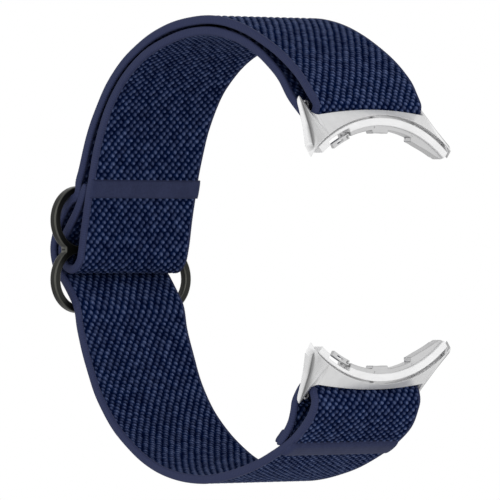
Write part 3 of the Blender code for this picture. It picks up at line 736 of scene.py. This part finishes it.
def shell_object(name, sign):
    stations = []
    y = 0.0
    while y < SHELL_HALF - 0.01:
        stations.append(y)
        y += 0.45 if y < 10.4 else 0.07
    stations.append(SHELL_HALF)
    stations = [-v for v in reversed(stations)] + stations[1:]
    radii = (0.16, 0.22, 0.2, 0.22, 0.5, 0.2, 0.2)
    rings = []
    for v in stations:
        ear = min(1.0, max(0.0, (abs(v) - 11.2) / 0.5))
        rings.append(rounded_section(softened(abs(v)), (radii[0], radii[1] + 0.75 * ear, *radii[2:])))
    # the two ends pull in a touch, so that the end faces have rounded edges
    for index in (0, -1):
        end = rings[index]
        centre = end.mean(0)
        outer = stations[index]
        rings[index] = centre + (end - centre) * 0.94
        stations[index] = outer
    bm = bmesh.new()
    verts = []
    for v, ring in zip(stations, rings):
        verts.append([bm.verts.new((x * MM, v * MM, sign * z * MM)) for x, z in ring])
    count = len(verts[0])
    for a, b in zip(verts, verts[1:]):
        for i in range(count):
            j = (i + 1) % count
            bm.faces.new((a[i], a[j], b[j], b[i]))
    bm.faces.new(verts[0][::-1])
    bm.faces.new(verts[-1])
    bmesh.ops.recalc_face_normals(bm, faces=bm.faces)
    mesh = bpy.data.meshes.new(name)
    bm.to_mesh(mesh)
    bm.free()
    mesh.shade_smooth()
    mesh.set_sharp_from_angle(angle=math.radians(50))
    # the plate is left satin and the two ears are polished
    across = np.repeat(np.abs(np.array(stations)), count)
    ears = np.clip((across - 10.9) / 0.9, 0.0, 1.0)
    store(mesh, "polish", ears)
    # painted reflection: the hollow beside each ear's front crease is darkened in the base colour, standing for the
    # dark strap and wrist that it mirrors
    around = np.tile(np.arange(count), len(stations))
    dark = np.interp(around, (8, 9, 10, 11, 12, 13, 16, 17, 18, 19, 20), (0, 0.02, 0.06, 0.18, 0.48, 0.85, 1.0, 0.95, 0.6, 0.2, 0))
    store(mesh, "ear_painted_light", dark * ears)
    mesh.materials.append(POLISHED)
    obj = bpy.data.objects.new(name, mesh)
    bpy.context.scene.collection.objects.link(obj)
    return obj


def flange_outline():
    outer = arc(RAIL_RADIUS, -39.3, 42.4, 62)
    inner = arc(18.9, 42.4, -19.6, 46)
    relief = arc(19.55, -19.6, -33.2, 12)
    return outer + inner + relief + arc(18.9, -33.2, -39.3, 6)


def lug_outline():
    outer = arc(19.95, -18.9, 40.5, 46)
    round_end = arc(1.0, 72, 222, 14, centre=(12.3, 14.85))
    long_lug = []
    for k in range(17):
        angle = 38.3 - 18.0 * k / 16
        radius = 17.6 + 0.5 * max(0.0, (angle - 26.0) / 12.3) ** 1.3
        long_lug.append((radius * math.sin(math.radians(angle)), radius * math.cos(math.radians(angle))))
    gap = arc(18.2, 20.0, 5.2, 12)
    middle = arc(17.72, 4.9, -4.9, 8)
    tail = arc(18.2, -5.2, -18.9, 12)
    return outer + round_end + long_lug + gap + middle + tail


def root_outline():
    """The thin plate that the latch tab is riveted to."""
    return arc(19.95, -23.0, -18.4, 6) + arc(18.2, -18.4, -23.0, 6)


def gap_shade_sheet_outline():
    """A grey sheet set back between the rail and the shell, joining the two; it stands in for the grey shade in the gap
    between them.
    """
    return arc(20.85, -38.6, 40.0, 56) + arc(19.7, 40.0, -38.6, 56)


def mirror_z(outline, sign):
    return [(y, sign * z) for y, z in outline]


def build_adapter(side, sign):
    body = side + "_adapter"
    shell = shell_object(side + "_adapter_polished_shell", sign)
    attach(shell, body)
    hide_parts(side + "_adapter_shell")
    flange = flat_plate(side + "_rail_flange", [mirror_z(flange_outline(), sign)], -1.35, 0.95, SATIN, 0.10, 2)
    lugs = flat_plate(side + "_rail_lug_plate", [mirror_z(lug_outline(), sign)], -1.55, 0.8, SATIN_LUG, 0.12, 2)
    root = flat_plate(side + "_rail_latch_root", [mirror_z(root_outline(), sign)], -1.95, 0.35, SATIN_LUG, 0.08, 2)
    # a grey sheet behind the gap between rail and shell, standing in for the shade there
    gap_shade_sheet = flat_plate(side + "_rail_gap_shade_sheet", [mirror_z(gap_shade_sheet_outline(), sign)], -1.45, 0.2, SATIN_LUG, 0.05, 1)
    for piece in (flange, lugs, root, gap_shade_sheet):
        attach(piece, body)
    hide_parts(side + "_locking_rail")
    for node in ("rail_stud_a", "rail_stud_b", "latch_tab", "latch_rivet", "spring_bar_barrel",
                 "spring_bar_coil", "spring_bar_tip_near", "spring_bar_tip_far"):
        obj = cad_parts[side + "_" + node]
        obj.data.materials.clear()
        obj.data.materials.append(SPRING)


build_adapter("upper", 1)
build_adapter("lower", -1)

# ---- what rides on what -------------------------------------------------------------------------
for piece, nodes in ((upper_outer, ("through_strap", "upper_strap_fold")),
                     (upper_inner, ("slider_loop_strap",))):
    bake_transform(piece)
    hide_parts(*nodes)
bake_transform(lower_run)
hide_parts("lower_strap_fold")
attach(slider_seam, "band_back")
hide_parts("slider_seam_tape")
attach(lower_outer_seam, "lower_strap")
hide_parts("lower_seam_tape_outer")
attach(lower_inner_seam, "lower_strap")
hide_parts("lower_seam_tape_inner")
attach(slider, "slider")
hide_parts("slider_frame")

# ---- camera -------------------------------------------------------------------------------------
camera_data = bpy.data.cameras.new("camera")
camera_data.sensor_width = 36.0
camera_data.lens = 514.1
camera_data.clip_start = 0.05
camera_data.clip_end = 50.0
camera = bpy.data.objects.new("camera", camera_data)
bpy.context.scene.collection.objects.link(camera)
camera.location = (0.8124, -0.7221, -0.00006)
camera.rotation_euler = (math.radians(90), 0.0, math.radians(49.44))
bpy.context.scene.camera = camera

# ---- floor, world and lights --------------------------------------------------------------------
floor_mesh = bpy.data.meshes.new("floor")
floor_bm = bmesh.new()
bmesh.ops.create_grid(floor_bm, x_segments=1, y_segments=1, size=20.0)
floor_bm.to_mesh(floor_mesh)
floor_bm.free()
floor = bpy.data.objects.new("floor", floor_mesh)
floor.location = (0, 0, -0.0375)
bpy.context.scene.collection.objects.link(floor)
floor_mat = bpy.data.materials.new("floor_white")
fn = Nodes(floor_mat)
fn.finish(fn("Emission", Color=(1.0, 1.0, 1.0), Strength=1.0))
floor_mesh.materials.append(floor_mat)
floor.visible_glossy = False
floor.visible_diffuse = False

world = bpy.data.worlds.new("studio")
bpy.context.scene.world = world
world.use_nodes = True
wn = Nodes(world)
direction = wn("TexCoord", out=0)
towards = wn("VectorMath", out=1, props={"operation": "DOT_PRODUCT"}, i_0=direction, i_1=(0.747, -0.664, 0.0))
camera_side = wn.span(towards, 0.86, 0.985, 0.0, 1.0, True)
height = wn("SeparateXYZ", out=2, Vector=direction)
low = wn.math("MULTIPLY", wn.span(height, -0.30, 0.02, 0.71, 1.0, True),
              wn.span(height, 0.05, 0.8, 1.0, 0.68, True))
glossy = wn("LightPath", out=3)
front_wide = wn.span(towards, 0.35, 0.95, 0.0, 1.0, True)
cards = camera_side
for card in ((-0.14, -0.44, 0.89), (-0.14, -0.44, -0.89)):
    facing = wn("VectorMath", out=1, props={"operation": "DOT_PRODUCT"}, i_0=direction, i_1=card)
    cards = wn.math("MAXIMUM", cards, wn.span(facing, 0.80, 0.95, 0.0, 1.0, True))
for_gloss = wn.math("SUBTRACT", 1.0, wn.math("MULTIPLY", cards, 0.50))
for_cloth = wn.math("ADD", 0.92, wn.math("MULTIPLY", front_wide, 0.75))
glow = wn.math("MULTIPLY", low, wn.math("ADD", wn.math("MULTIPLY", glossy, for_gloss),
                                        wn.math("MULTIPLY", wn.math("SUBTRACT", 1.0, glossy), for_cloth)))
tent = wn("Background", Color=(1.0, 1.0, 1.0), Strength=glow)
seen = wn("Background", Color=(1.0, 1.0, 1.0), Strength=1.0)
ray = wn("LightPath", out=0)
both = wn("MixShader", Fac=ray, i_1=tent, i_2=seen)
world_out = wn.tree.nodes.new("ShaderNodeOutputWorld")
wn.tree.links.new(both, world_out.inputs[0])


bpy.context.scene.view_settings.view_transform = "Standard"
bpy.context.scene.view_settings.look = "None"
